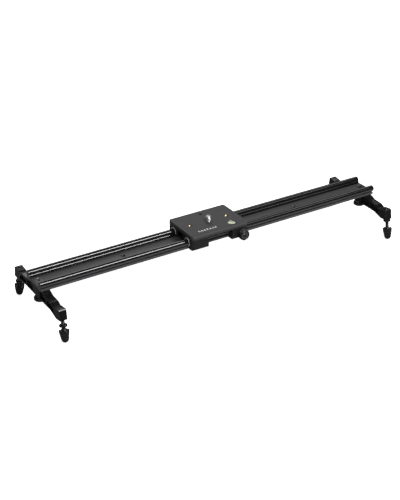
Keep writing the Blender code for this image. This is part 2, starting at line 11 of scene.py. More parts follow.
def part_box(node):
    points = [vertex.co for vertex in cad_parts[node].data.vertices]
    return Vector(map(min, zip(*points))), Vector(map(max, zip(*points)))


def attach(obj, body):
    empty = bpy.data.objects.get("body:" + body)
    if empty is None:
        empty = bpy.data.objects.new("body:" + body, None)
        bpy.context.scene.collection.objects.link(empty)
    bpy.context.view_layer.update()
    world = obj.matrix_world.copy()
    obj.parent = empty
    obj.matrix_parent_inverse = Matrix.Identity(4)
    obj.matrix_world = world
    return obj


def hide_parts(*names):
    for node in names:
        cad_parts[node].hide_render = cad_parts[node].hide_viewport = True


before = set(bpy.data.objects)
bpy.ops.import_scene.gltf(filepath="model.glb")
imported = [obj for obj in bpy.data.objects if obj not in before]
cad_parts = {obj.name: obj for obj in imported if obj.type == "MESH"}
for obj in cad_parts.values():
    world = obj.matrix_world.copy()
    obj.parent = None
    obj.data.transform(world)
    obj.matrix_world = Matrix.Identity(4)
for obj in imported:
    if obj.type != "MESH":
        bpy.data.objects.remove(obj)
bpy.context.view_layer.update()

SCENE = bpy.context.scene
MM = 0.001
SIDES = (("left", -1), ("right", 1))      # along X
ROWS = (("front", -1), ("rear", 1))       # along Y


def middle_x(node):
    low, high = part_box(node)
    return (low.x + high.x) / 2


# ------------------------------------------------------- driving dimensions
RAIL_LOW, RAIL_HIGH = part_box("track_rail")
PLATE_LOW, PLATE_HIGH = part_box("carriage_plate")
LEG_LOW, LEG_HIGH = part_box("leg_bar_right")
SHAFT_R = 5.0 * MM
SHAFT_Y = 20.0 * MM
SHAFT_Z = 66.0 * MM
WEB_TOP = SHAFT_Z - 3.5 * MM              # top of the flat web between the shafts
MOUNT_HOLE_X = 155.0 * MM
LEG_X = middle_x("leg_bar_right")
LEG_HALF_WIDTH = (LEG_HIGH.x - LEG_LOW.x) / 2
FOOT_TILT = math.radians(11.0)
FOOT_REACH = 78.0 * MM
FOOT_RISE = 3.2 * MM * math.sin(FOOT_TILT)
CARRIAGE_X = middle_x("carriage_plate")
CLAMP_X = middle_x("clamp_housing")
PLATE_HALF_WIDTH = (PLATE_HIGH.y - PLATE_LOW.y) / 2
PLAN_RADIUS = 5.0 * MM                    # carriage corners seen from above
INSERT_X = 32.5 * MM                      # from the carriage centre
HOUSING_SCREW_X = 9.5 * MM                # from the housing centre
HOUSING_SCREW_Y = 31.2 * MM


# ----------------------------------------------------------------- outlines
def in_mm(points, out=0.0, up=0.0):
    """A table in mm as metres, measured from (out, up); a third column is only scaled."""
    return [(out + a * MM, up + b * MM, *(c * MM for c in rest)) for a, b, *rest in points]


def arc(across, up, radius, start, stop, count):
    """Points on an arc, its angles in degrees."""
    angles = [math.radians(start + (stop - start) * i / count) for i in range(count + 1)]
    return [(across + radius * math.cos(a), up + radius * math.sin(a)) for a in angles]


def inset(points, amount):
    """The outline moved inwards by amount, corner by corner."""
    area = sum(a[0] * b[1] - b[0] * a[1] for a, b in zip(points, points[1:] + points[:1])) / 2
    sign = 1.0 if area > 0 else -1.0
    moved = []
    for i, point in enumerate(points):
        before, corner, after = Vector(points[i - 1]), Vector(point), Vector(points[(i + 1) % len(points)])
        arrive, leave = (corner - before).normalized(), (after - corner).normalized()
        normal = Vector((-arrive.y, arrive.x)) * sign
        miter = normal + Vector((-leave.y, leave.x)) * sign
        if miter.length < 1e-6:                     # the outline doubles back on itself
            miter = normal.copy()
        miter.normalize()
        moved.append(tuple(corner + miter * amount * (1.0 / max(0.45, miter.dot(normal)))))
    return moved


def rounded(points, radii, steps=5):
    """The outline with its corners rounded, one radius for each point."""
    result = []
    for i, radius in enumerate(radii):
        corner = Vector(points[i])
        back = Vector(points[i - 1]) - corner
        ahead = Vector(points[(i + 1) % len(points)]) - corner
        back_length, ahead_length = back.length, ahead.length
        back.normalize()
        ahead.normalize()
        angle = back.angle(ahead)
        if radius <= 1e-9 or angle > math.pi - 0.02:
            result.append(tuple(corner))
            continue
        tangent = min(radius / math.tan(angle / 2), 0.48 * back_length, 0.48 * ahead_length)
        radius = tangent * math.tan(angle / 2)
        centre = corner + (back + ahead).normalized() * (radius / math.sin(angle / 2))
        spoke = corner + back * tangent - centre
        sweep = spoke.angle_signed(corner + ahead * tangent - centre)
        for k in range(steps + 1):
            turn = -sweep * k / steps
            cos, sin = math.cos(turn), math.sin(turn)
            result.append((centre.x + spoke.x * cos - spoke.y * sin,
                           centre.y + spoke.x * sin + spoke.y * cos))
    return result


def mirrored(half):
    """A half outline at Y >= 0, from bottom centre to top centre or back, and its mirror image."""
    return half + [(-y, z) for y, z in reversed(half) if abs(y) > 1e-9]


def in_row(points, row):
    """An outline drawn at the rear, mirrored when it belongs to the front row."""
    return [(-y, z) for y, z in reversed(points)] if row == "front" else points


# ------------------------------------------------------------- mesh helpers
def finish_mesh(name, work, place=None):
    bmesh.ops.remove_doubles(work, verts=work.verts, dist=2e-7)
    bmesh.ops.dissolve_degenerate(work, edges=work.edges, dist=1e-7)
    bmesh.ops.recalc_face_normals(work, faces=work.faces)
    mesh = bpy.data.meshes.new(name)
    work.to_mesh(mesh)
    work.free()
    if place is not None:
        mesh.transform(place)
    obj = bpy.data.objects.new(name, mesh)
    SCENE.collection.objects.link(obj)
    return obj


def from_rings(name, rings, place=None, loop=False, partner=None):
    """Skin over rings of equal length; the ends are capped, or joined when loop is set.

    partner says which ring each ring meets where it closes on itself, which a helix needs."""
    work = bmesh.new()
    rows = [[work.verts.new(point) for point in ring] for ring in rings]
    meets = partner or range(len(rows))
    for k in range(len(rows) if loop else len(rows) - 1):
        following = (k + 1) % len(rows)
        row, beyond = rows[k], rows[following]
        for i in range(len(row) - 1):
            work.faces.new((row[i], row[i + 1], beyond[i + 1], beyond[i]))
        seam = (row[-1], rows[meets[k]][0], rows[meets[following]][0], beyond[-1])
        work.faces.new(list(dict.fromkeys(seam)))   # a triangle where both rings meet the same one
    if not loop:
        for row, ring in ((rows[0], rings[0]), (rows[-1], rings[-1])):
            if max((Vector(point) - Vector(ring[0])).length for point in ring) > 1e-6:
                work.faces.new(row)
    return finish_mesh(name, work, place)


def lathe(name, profile, place, segments, loop=False, wave=None):
    """Turned solid from (radius, height) or (radius, height, depth of the wave) entries."""
    rings = []
    for radius, height, *depth in profile:
        ring = []
        for i in range(segments):
            angle = 2 * math.pi * i / segments
            reach = radius - (depth[0] * wave(angle) if depth else 0.0)
            ring.append((reach * math.cos(angle), reach * math.sin(angle), height))
        rings.append(ring)
    return from_rings(name, rings, place, loop)


def scallops(count):
    """A grip pattern round a knob: 0 on a rib, 1 in a groove."""
    return lambda angle: (0.5 - 0.5 * math.cos(angle * count)) ** 2


THREAD_FLAT = 0.18        # how much of the slope is cut off at crest and root
THREAD_LEAD = 0.6         # pitches over which the ridge rises from the core at each end


def thread_rings(crest, root, pitch, low, high, segments, per):
    """Rings that follow a helix, per of them to a turn, so that its ridge is real geometry."""
    rows = []
    turns = math.ceil((high - low) / pitch) + 2
    for k in range(-per, (turns - 1) * per + 1):
        drop = abs(2.0 * ((k / per) % 1.0) - 1.0)            # 1 at the root, 0 at the crest
        drop = min(1.0, max(0.0, (drop - THREAD_FLAT) / (1.0 - 2 * THREAD_FLAT)))
        ridge = crest - (crest - root) * drop
        row = []
        for i in range(segments):
            turn = i / segments
            z = min(high, max(low, low + pitch * (k / per + turn)))
            lead = THREAD_LEAD * pitch
            ease = max(0.0, min(1.0, (z - low) / lead, (high - z) / lead))
            reach = root + (ridge - root) * ease
            angle = 2 * math.pi * turn
            row.append((reach * math.cos(angle), reach * math.sin(angle), z))
        rows.append(row)
    return rows


def threaded(name, place, crest, root, pitch, low, high, segments, per=6,
             below=(), above=(), loop=False):
    """A thread from low to high, with turned (radius, height) entries below and above it."""
    def ring(radius, z):
        angles = [2 * math.pi * i / segments for i in range(segments)]
        return [(radius * math.cos(a), radius * math.sin(a), z) for a in angles]
    rows = thread_rings(crest, root, pitch, low, high, segments, per)
    rings = [ring(*entry) for entry in below] + rows + [ring(*entry) for entry in above]
    first, last = len(below), len(below) + len(rows) - 1
    partner = [min(k + per, last) if first <= k <= last else k for k in range(len(rings))]
    return from_rings(name, rings, place, loop, partner)


def prism_x(name, outline, start, stop):
    """A (Y, Z) outline carried along X with sharp ends."""
    return from_rings(name, [[(x, y, z) for y, z in outline] for x in (start, stop)])


def sweep_x(name, outline, start, stop, chamfer, rounds=3):
    """A (Y, Z) outline carried along X, its two end rims rounded."""
    rims = []                                       # (distance from the end, outline there)
    for k in range(rounds + 1):
        angle = math.pi / 2 * k / rounds
        inward = chamfer * (1 - math.sin(angle))
        rim = inset(outline, inward) if k < rounds else outline
        rims.append((chamfer * (1 - math.cos(angle)), rim))
    rings = [[(start + back, y, z) for y, z in rim] for back, rim in rims]
    rings += [[(stop - back, y, z) for y, z in rim] for back, rim in reversed(rims)]
    return from_rings(name, rings)


def add_box(work, centre, size):
    matrix = Matrix.Translation(centre) @ Matrix.Diagonal((*size, 1.0))
    bmesh.ops.create_cube(work, size=1.0, matrix=matrix)


def apply_modifiers(obj):
    bpy.context.view_layer.update()
    graph = bpy.context.evaluated_depsgraph_get()
    mesh = bpy.data.meshes.new_from_object(obj.evaluated_get(graph), depsgraph=graph)
    old = obj.data
    obj.modifiers.clear()
    obj.data = mesh
    mesh.name = obj.name
    bpy.data.meshes.remove(old)


def carve(obj, *cutters, operation="DIFFERENCE"):
    """Cut the object with the cutters, which are used up, and clean the seams."""
    for tool in cutters:
        step = obj.modifiers.new("carve", "BOOLEAN")
        step.operation = operation
        step.solver = "EXACT"
        step.object = tool
    apply_modifiers(obj)
    for tool in cutters:
        bpy.data.objects.remove(tool, do_unlink=True)
    work = bmesh.new()
    work.from_mesh(obj.data)
    bmesh.ops.remove_doubles(work, verts=work.verts, dist=2e-6)
    bmesh.ops.dissolve_degenerate(work, edges=work.edges, dist=1e-6)
    work.to_mesh(obj.data)
    work.free()


def round_edges(obj, width, segments):
    step = obj.modifiers.new("round", "BEVEL")
    step.width = width
    step.segments = segments
    step.limit_method = "ANGLE"
    step.angle_limit = math.radians(40.0)
    step.use_clamp_overlap = True
    step.miter_outer = "MITER_ARC"
    apply_modifiers(obj)


def place_at(x, y, z, tilt=0.0):
    """A place whose axis is +Z, tilted about X."""
    return Matrix.Translation((x, y, z)) @ Matrix.Rotation(tilt, 4, "X")


def cutter(profile, place, segments=48):
    return lathe("cutter", profile, place, segments)


def hex_cutter(radius, floor, top, place):
    return cutter([(radius * 0.2, floor - radius * 0.25), (radius, floor), (radius, top)], place, 6)


# ---------------------------------------------------------------- materials
def feed(tree, node, inputs):
    """Link or set a node's inputs, given by name or index."""
    for key, value in inputs.items():
        if isinstance(value, bpy.types.NodeSocket):
            tree.links.new(value, node.inputs[key])
        else:
            node.inputs[key].default_value = value


def add_node(tree, kind, inputs=None, **settings):
    node = tree.nodes.new(kind)
    for key, value in settings.items():
        setattr(node, key, value)
    feed(tree, node, inputs or {})
    return node


def noise(tree, coords, scale, detail=3.0, rough=0.55):
    """Noise in the part's own frame; scale is features per metre, one number or one per axis."""
    scale = scale if isinstance(scale, tuple) else (scale,) * 3
    mapping = add_node(tree, "ShaderNodeMapping",
                       {"Scale": scale, "Vector": coords.outputs["Object"]})
    texture = add_node(tree, "ShaderNodeTexNoise",
                       {"Scale": 1.0, "Detail": detail, "Roughness": rough,
                        "Vector": mapping.outputs["Vector"]})
    return texture.outputs["Fac"]


def mix(tree, share, first, second):
    first, second = [(*colour, 1.0) if isinstance(colour, tuple) else colour
                     for colour in (first, second)]
    node = add_node(tree, "ShaderNodeMix", {0: share, 6: first, 7: second}, data_type="RGBA")
    return node.outputs[2]


def remap(tree, value, low, high, to_low=0.0, to_high=1.0):
    node = add_node(tree, "ShaderNodeMapRange",
                    {"From Min": low, "From Max": high, "To Min": to_low, "To Max": to_high,
                     "Value": value})
    return node.outputs["Result"]


def edge_wear_and_highlight(tree, coords, base, colour, radius, amount):
    """The base colour lightened in broken patches along the edges, as rubbed-through wear and as painted
    edge highlight.
    """
    bevel = add_node(tree, "ShaderNodeBevel", {"Radius": radius}, samples=6)
    geometry = add_node(tree, "ShaderNodeNewGeometry")
    bend = add_node(tree, "ShaderNodeVectorMath",
                    {0: bevel.outputs["Normal"], 1: geometry.outputs["True Normal"]},
                    operation="DOT_PRODUCT")
    edge_share = remap(tree, bend.outputs["Value"], low=0.995, high=0.86)
    broken = noise(tree, coords, scale=260, detail=4.0, rough=0.7)
    patches = remap(tree, broken, low=0.40, high=0.62, to_low=0.15, to_high=amount)
    gate = add_node(tree, "ShaderNodeMath", {0: edge_share, 1: patches}, operation="MULTIPLY")
    return mix(tree, gate.outputs[0], base, colour)


def surface(name, colour, rough, metallic=0.0, ior=1.5, vary=0.15, rough_vary=0.08, large=70,
            grain=2500, grain_depth=0.00002, grain_strength=0.3, edge=None, streak=None, dust=0.0):
    """Principled surface with noise in its colour, roughness and bump.

    vary, rough_vary: how far colour (as a share) and roughness wander with the large noise
    large, grain: scales of the wide and the fine noise; grain_depth is in metres
    edge: lighter broken edges, both wear and painted highlight; streak: lines drawn over the colour; dust:
    strength of pale specks"""
    material = bpy.data.materials.new(name)
    material.use_nodes = True
    tree = material.node_tree
    bsdf = tree.nodes["Principled BSDF"]
    feed(tree, bsdf, {"Base Color": (*colour, 1.0), "Metallic": metallic, "Roughness": rough,
                      "IOR": ior, "Coat Roughness": 0.1})
    coords = add_node(tree, "ShaderNodeTexCoord")
    wide = noise(tree, coords, large, detail=4.0)
    fine = noise(tree, coords, grain, detail=2.0)

    tone = mix(tree, remap(tree, wide, low=0.3, high=0.7),
               tuple(c * (1 - vary) for c in colour), tuple(c * (1 + vary) for c in colour))
    speck = mix(tree, remap(tree, fine, low=0.35, high=0.75),
                tone, tuple(min(1.0, c * 1.25 + 0.002) for c in colour))
    speck_share = 0.35
    base = mix(tree, speck_share, tone, speck)
    if streak:
        lines = noise(tree, coords, streak["scale"])
        share = remap(tree, lines, low=0.52, high=0.78, to_high=streak["amount"])
        base = mix(tree, share, base, streak["colour"])
    if dust:
        spots = noise(tree, coords, scale=420, detail=5.0, rough=0.7)
        share = remap(tree, spots, low=0.62, high=0.78, to_high=dust)
        dust_colour = (0.30, 0.29, 0.27)
        base = mix(tree, share, base, dust_colour)
    if edge:
        base = edge_wear_and_highlight(tree, coords, base, **edge)

    spread = remap(tree, wide, low=0.3, high=0.7, to_low=rough - rough_vary,
                   to_high=rough + rough_vary)
    bump = add_node(tree, "ShaderNodeBump",
                    {"Strength": grain_strength, "Distance": grain_depth, "Height": fine})
    feed(tree, bsdf, {"Base Color": base, "Roughness": spread, "Normal": bump.outputs["Normal"]})
    return material


# Extruded and anodised rail: drawing lines run lengthwise, so their noise is stretched along X
RAIL_LINES = dict(large=(9, 160, 160), grain=(30, 5200, 5200), grain_depth=0.00001,
                  grain_strength=0.25)
RAIL_BODY = surface(
    "rail_anodised", colour=(0.0215, 0.0215, 0.023), rough=0.48, ior=1.55, **RAIL_LINES,
    streak=dict(scale=(5, 1500, 1500), colour=(0.040, 0.040, 0.043), amount=0.35),
    edge=dict(colour=(0.24, 0.24, 0.25), radius=0.25 * MM, amount=0.5))
# Glossy black of the round edges; the same black is painted shade on the web's groove floors and in the
# bores and threads of the holes.
RAIL_BEAD_AND_SHADE = surface(
    "rail_bead_and_painted_shade", colour=(0.0036, 0.0036, 0.0039), rough=0.13, ior=1.68, vary=0.10,
    rough_vary=0.02, large=(9, 300, 300), grain=(25, 3500, 3500), grain_depth=0.000006,
    grain_strength=0.15,
    streak=dict(scale=(8, 900, 900), colour=(0.022, 0.022, 0.024), amount=0.4))
# Lighter copy of the rail's anodise for the outer walls and the lower outer half of each round edge:
# painted light, as the bright floor in front would give.
RAIL_SIDE_PAINTED_LIGHT = surface(
    "rail_side_painted_light", colour=(0.053, 0.053, 0.0555), rough=0.42, **RAIL_LINES,
    streak=dict(scale=(5, 1500, 1500), colour=(0.060, 0.060, 0.064), amount=0.35),
    edge=dict(colour=(0.24, 0.24, 0.25), radius=0.20 * MM, amount=0.4))
RAIL_CUT = surface(
    "rail_sawn_end", colour=(0.075, 0.075, 0.078), rough=0.35, metallic=0.3, large=60,
    grain=(200, 4200, 300), grain_strength=0.4)
PLATE = surface(
    "plate_anodised", colour=(0.034, 0.034, 0.036), rough=0.55, ior=1.38, vary=0.07,
    rough_vary=0.04, large=45, grain=3600, grain_depth=0.000018, grain_strength=0.35,
    edge=dict(colour=(0.11, 0.11, 0.115), radius=0.25 * MM, amount=0.35), dust=0.05)
HOUSING = surface(
    "housing_anodised", colour=(0.011, 0.011, 0.012), rough=0.42, vary=0.10, rough_vary=0.05,
    large=60, grain=3400, grain_depth=0.000016,
    edge=dict(colour=(0.14, 0.14, 0.15), radius=0.28 * MM, amount=0.5))
# The legs' light edge colour is partly rubbed wear and partly painted highlight along the edges.
LEG_COAT = dict(vary=0.18, rough_vary=0.07, large=80, grain=1700, grain_depth=0.00006,
                grain_strength=0.45, dust=0.02,
                edge=dict(colour=(0.16, 0.16, 0.165), radius=0.35 * MM, amount=0.60))
LEG = surface("leg_paint", colour=(0.0036, 0.0029, 0.0029), rough=0.26, ior=1.43, **LEG_COAT)
# Lighter copy of the leg paint for the end blocks' left and right faces: painted light, as a low light
# from the side would give.
LEG_FACE_PAINTED_LIGHT = surface("leg_block_face_painted_light", colour=(0.046, 0.045, 0.045), rough=0.42, **LEG_COAT)
# The plastic's light edge colour is partly rubbed wear and partly painted glints on rims and edges.
PLASTIC = surface(
    "black_plastic", colour=(0.0046, 0.0046, 0.0049), rough=0.18, ior=1.60, vary=0.12,
    rough_vary=0.04, large=150, grain=2600, grain_strength=0.25,
    edge=dict(colour=(0.12, 0.12, 0.125), radius=0.20 * MM, amount=0.45))
KNOB_FACE = surface(
    "knob_face", colour=(0.034, 0.034, 0.035), rough=0.42, vary=0.10, rough_vary=0.05,
    large=200, grain=2600, grain_strength=0.25)
RUBBER = surface(
    "rubber", colour=(0.0085, 0.0085, 0.0088), rough=0.34, ior=1.45, vary=0.20,
    rough_vary=0.10, large=180, grain=1500, grain_depth=0.00005, grain_strength=0.5, dust=0.12)
STEEL = surface(
    "bright_steel", colour=(0.62, 0.62, 0.63), rough=0.24, metallic=1.0, vary=0.08,
    rough_vary=0.06, large=300, grain=(150, 150, 4200), grain_depth=0.00001,
    grain_strength=0.25)
STEEL_SCREW = surface(
    "screw_steel", colour=(0.42, 0.42, 0.43), rough=0.34, metallic=0.78, vary=0.10,
    rough_vary=0.05, large=300, grain=(150, 150, 4200), grain_depth=0.00001,
    grain_strength=0.25)
STEEL_CROSS = surface(
    "bright_steel_cross", colour=(0.36, 0.36, 0.37), rough=0.30, metallic=1.0, vary=0.08,
    rough_vary=0.06, large=300, grain=(150, 4200, 150), grain_depth=0.00001,
    grain_strength=0.25)
BLACK_STEEL = surface(
    "black_oxide", colour=(0.045, 0.045, 0.048), rough=0.30, metallic=0.75, vary=0.20,
    large=220, grain=2400, grain_depth=0.00001,
    edge=dict(colour=(0.30, 0.30, 0.31), radius=0.15 * MM, amount=0.5))
BRASS = surface(
    "brass", colour=(0.48, 0.39, 0.23), rough=0.30, metallic=1.0, vary=0.10, rough_vary=0.07,
    large=260, grain=(300, 300, 3800), grain_depth=0.00001)
POLYMER = surface(
    "liner_polymer", colour=(0.46, 0.46, 0.45), rough=0.38, vary=0.05, rough_vary=0.06,
    large=160, grain=1800, grain_depth=0.00001, grain_strength=0.2)
# Dark liner: its end faces are painted shade for the gap round the shaft.
LINER_PAINTED_SHADE = surface(
    "liner_painted_shade", colour=(0.035, 0.035, 0.035), rough=0.40, vary=0.10, rough_vary=0.06,
    large=160, grain=1800, grain_depth=0.00001, grain_strength=0.2)
INK = surface("printed_marks", colour=(0.86, 0.86, 0.86), rough=0.55, vary=0.04, large=400,
              grain_strength=0.1)


def fluid_material():
    """The level's liquid glows a little, so that it stays bright inside the dark body."""
    material = surface("level_fluid", colour=(0.54, 0.60, 0.38), rough=0.20, ior=1.4, vary=0.10,
                       rough_vary=0.02, large=420, grain_strength=0.02)
    tree = material.node_tree
    feed(tree, tree.nodes["Principled BSDF"],
         {"Emission Color": (0.82, 0.88, 0.66, 1.0), "Emission Strength": 0.42})
    return material


def lens_material():
    """Mostly transparent, with a share of glossy surface over it."""
    material = surface("clear_lens", colour=(0.30, 0.32, 0.28), rough=0.06, ior=1.49, vary=0.04,
                       rough_vary=0.02, grain_strength=0.02)
    tree = material.node_tree
    bsdf = tree.nodes["Principled BSDF"]
    surface_share = 0.20
    clear = add_node(tree, "ShaderNodeBsdfTransparent")
    mixer = add_node(tree, "ShaderNodeMixShader",
                     {0: surface_share, 1: clear.outputs[0], 2: bsdf.outputs[0]})
    feed(tree, tree.nodes["Material Output"], {"Surface": mixer.outputs[0]})
    return material


FLUID = fluid_material()
LENS = lens_material()


def piece(obj, body, node, materials, smooth=32.0, pick=None):
    """Finish a piece: shading, materials, body, and the CAD node it stands in for.

    pick(centre, normal) chooses one of several materials for a face."""
    obj.data.materials.clear()
    for material in materials if isinstance(materials, list) else [materials]:
        obj.data.materials.append(material)
    for face in obj.data.polygons:
        face.material_index = pick(face.center, face.normal) if pick else 0
    obj.data.shade_smooth()
    obj.data.set_sharp_from_angle(angle=math.radians(smooth))
    weigh = obj.modifiers.new("weighted", "WEIGHTED_NORMAL")
    weigh.keep_sharp = True
    weigh.weight = 80
    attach(obj, body)
    if node:
        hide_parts(node)


# --------------------------------------------------------------- the track
def rail_outline():
    """The extrusion's (Y, Z) outline; the half runs from bottom centre out to top centre."""
    foot = [(0.0, 1.2), (11.6, 1.2), (12.0, 1.1), (12.6, 0.2), (12.9, 0.0)]
    for y in (15.0, 18.6):                                   # grooves in the underside
        foot += [(y, 0.0), (y + 0.25, 0.25), (y + 0.5, 0.0)]
    foot.append((22.9, 0.0))
    corner_angles = [math.radians(degrees) for degrees in (30, 60, 90)]
    foot += [(22.9 + 0.5 * math.sin(a), 0.5 * (1 - math.cos(a))) for a in corner_angles]
    # from the outer side in under the round edge
    side = [(23.4, -6.35), (23.27, -6.0), (22.9, -5.85), (20.4, -5.95), (19.2, -5.85),
            (18.9, -5.55), (19.1, -5.2)]
    # the ledge on the inner side of each round edge, then the web
    ledge = [(15.00, -1.02), (14.86, -1.10), (14.40, -1.55), (14.30, -1.80), (14.30, -3.10),
             (14.20, -3.75), (13.95, -3.95), (11.75, -3.95), (11.5, -3.85), (11.45, -3.60),
             (11.3, -3.50), (0.0, -3.50)]
    return mirrored(in_mm(foot, up=RAIL_LOW.z) + in_mm(side, up=SHAFT_Z)
                    + arc(SHAFT_Y, SHAFT_Z, SHAFT_R, -96.0, 190.0, 56)
                    + in_mm(ledge, up=SHAFT_Z))


def rail_pick(centre, normal):
    body, bead_and_shade, bare, side = range(4)
    if abs(normal.x) > 0.9:
        return bare
    y, z = abs(centre.y), centre.z - SHAFT_Z
    if y < 6.8 * MM and z > -8.0 * MM and abs(normal.z) < 0.95:
        # The bores take the glossy black as painted shade inside the holes.
        return bare if abs(normal.z) > 0.2 else bead_and_shade         # bright countersinks, dark bores
    if y < 14.05 * MM:
        # The groove floor beside each ledge is painted black as shade in the recess.
        return bead_and_shade if y > 11.4 * MM and z > -5.0 * MM else body
    # The outer walls and the lower outer half of each round edge take the lighter side material as painted
    # light.
    if z < -5.4 * MM or (y > SHAFT_Y and z < 0.3 * MM):
        return side
    return bead_and_shade


def build_rail():
    rail = sweep_x("rail_extrusion", rail_outline(), RAIL_LOW.x, RAIL_HIGH.x, 0.25 * MM)
    mount_hole = in_mm([(3.2, -9), (3.2, -0.45), (3.8, 0.02), (3.8, 2)], up=WEB_TOP)
    leg_hole = in_mm([(3.25, -9), (3.25, -3.4), (6.5, 0.02), (6.5, 2)], up=WEB_TOP)
    bush_hole = (in_mm([(7.0, -9)], up=WEB_TOP)
                 + in_mm([(7.0, 1.5), (6.35, 1.9)], up=RAIL_LOW.z)
                 + in_mm([(6.35, 2)], up=WEB_TOP))
    cuts = []
    for _, sign in SIDES:
        cuts.append(cutter(mount_hole, place_at(sign * MOUNT_HOLE_X, 0, 0)))
        cuts.append(cutter(leg_hole, place_at(sign * LEG_X, 0, 0), 64))
    cuts.append(cutter(bush_hole, place_at(0, 0, 0), 64))
    carve(rail, *cuts)
    piece(rail, "track", "track_rail", [RAIL_BODY, RAIL_BEAD_AND_SHADE, RAIL_CUT, RAIL_SIDE_PAINTED_LIGHT],
          30.0, rail_pick)


def build_web_thread(side, sign):
    """The thread in a mounting hole of the web, painted black as shade inside the hole."""
    coil = threaded(f"web_thread_{side}", place_at(sign * MOUNT_HOLE_X, 0, WEB_TOP - 4.6 * MM),
                    crest=2.65 * MM, root=3.12 * MM, pitch=1.27 * MM, low=0.0, high=4.0 * MM,
                    segments=36, above=in_mm([(3.16, 4.0), (3.16, 0.0)]), loop=True)
    piece(coil, "track", None, RAIL_BEAD_AND_SHADE, 40.0)


def build_tripod_bush():
    outside = in_mm([(4.7, 4.2), (5.9, 4.2), (6.15, 3.95), (6.15, 0.25), (5.9, 0.0), (4.7, 0.0)])
    bush = threaded("tripod_bush_turned", place_at(0, 0, SHAFT_Z - 8.0 * MM),
                    crest=3.95 * MM, root=4.45 * MM, pitch=1.588 * MM, low=0.0, high=4.1 * MM,
                    segments=48, above=outside, loop=True)
    piece(bush, "track", "tripod_bush", BRASS, 32.0)


def build_leg_bolt(side, sign):
    low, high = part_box(f"leg_bolt_{side}")
    place = place_at(sign * LEG_X, 0, 0)
    shank_and_head = (in_mm([(2.5, 13.2), (2.85, 13.6)], up=low.z)
                      + in_mm([(2.85, -3.1), (5.7, -0.45), (5.9, -0.25), (5.75, 0), (0, 0)],
                              up=high.z))
    bolt = threaded(f"leg_bolt_{side}_turned", place, crest=2.95 * MM, root=2.50 * MM,
                    pitch=1.0 * MM, low=low.z + 0.3 * MM, high=low.z + 13.0 * MM, segments=36,
                    below=in_mm([(0, 0), (2.2, 0), (2.5, 0.3)], up=low.z), above=shank_and_head)
    carve(bolt, hex_cutter(2.35 * MM, high.z - 2.2 * MM, high.z + 1 * MM, place))
    piece(bolt, "track", f"leg_bolt_{side}", BLACK_STEEL, 35.0)


build_rail()
for side, sign in SIDES:
    build_web_thread(side, sign)
build_tripod_bush()
for side, sign in SIDES:
    build_leg_bolt(side, sign)


# ---------------------------------------------------------------- the legs
# Half of the leg at Y > 0, from top to bottom: Y, Z from the shaft centres, corner radius, in mm
LEG_HALF = [
    (22.5, -9.8, 2.0), (33.0, -14.2, 4.0), (49.0, -14.8, 5.0), (57.0, -18.2, 2.0),
    (60.2, -16.6, 2.0), (72.9, -14.8, 0.6), (74.3, -16.2, 0.6), (76.4, -30.9, 0.8),
    (75.7, -31.5, 0.8), (63.2, -33.3, 2.2), (54.5, -30.8, 6.0), (45.0, -28.3, 6.0),
    (35.0, -28.0, 6.0),
]
# Pockets of one arm: their corners (Y, Z from the shaft centres) and corner radius, in mm
POCKETS = (
    ([(11.5, -13.0), (20.6, -13.0), (31.0, -17.3), (31.0, -25.2), (11.5, -25.2)], 1.3),
    ([(34.2, -17.6), (47.8, -18.0), (55.8, -21.3), (57.2, -27.9), (46.6, -25.4), (34.2, -25.1)],
     1.2),
)
# Section of a pocket wall: inset of the outline, height above the leg's face, in mm
POCKET_WALL = [(0.85, -2.9), (0.45, -2.5), (0.0, -0.35), (-0.35, 0.01), (-0.35, 2.0)]


def leg_outline():
    half = [(0.0, LEG_HALF[0][1], 0.0)] + LEG_HALF + [(0.0, -28.0, 0.0)]
    half = rounded([(y, z) for y, z, _ in half], [radius for *_, radius in half])
    return in_mm(mirrored([point for point in half if point[0] > 1e-6]), up=SHAFT_Z)


def pocket_cutter(x, face, arm, points, radius):
    """A pocket in the left (-1) or right (1) face of the front (-1) or rear (1) arm."""
    outline = rounded([(arm * y, z) for y, z in points], [radius] * len(points))
    outline = in_mm(outline, up=SHAFT_Z)
    return from_rings("cutter", [[(x + face * (LEG_HALF_WIDTH + height * MM), y, z)
                                  for y, z in inset(outline, inward * MM)]
                                 for inward, height in POCKET_WALL])


def foot_place(sign, end):
    """The foot's axis, from its tip up through the leg; it leans towards the rail."""
    return place_at(sign * LEG_X, end * FOOT_REACH, FOOT_RISE, end * FOOT_TILT)


def build_leg(side, sign):
    x = sign * LEG_X
    leg = sweep_x(f"leg_casting_{side}", leg_outline(), x - LEG_HALF_WIDTH, x + LEG_HALF_WIDTH,
                  0.4 * MM)
    cuts = [pocket_cutter(x, face, arm, points, radius)
            for face in (-1, 1) for arm in (-1, 1) for points, radius in POCKETS]
    bolt_hole = in_mm([(3.1, -40), (3.1, 0)], up=SHAFT_Z)
    counterbore = in_mm([(5.0, -30), (5.0, -27.6), (4.6, -27.4)], up=SHAFT_Z)   # in the underside
    cuts.append(cutter(bolt_hole, place_at(x, 0, 0), 40))
    cuts.append(cutter(counterbore, place_at(x, 0, 0)))
    for _, end in ROWS:
        cuts.append(cutter(in_mm([(3.05, 20), (3.05, 70)]), foot_place(sign, end), 40))
    carve(leg, *cuts)
    # The end blocks' left and right faces get the lighter copy of the paint as painted light.
    piece(leg, f"leg_{side}", f"leg_bar_{side}", [LEG, LEG_FACE_PAINTED_LIGHT], 28.0,
          lambda centre, normal: int(abs(normal.x) > 0.95 and abs(centre.y) > 55 * MM))


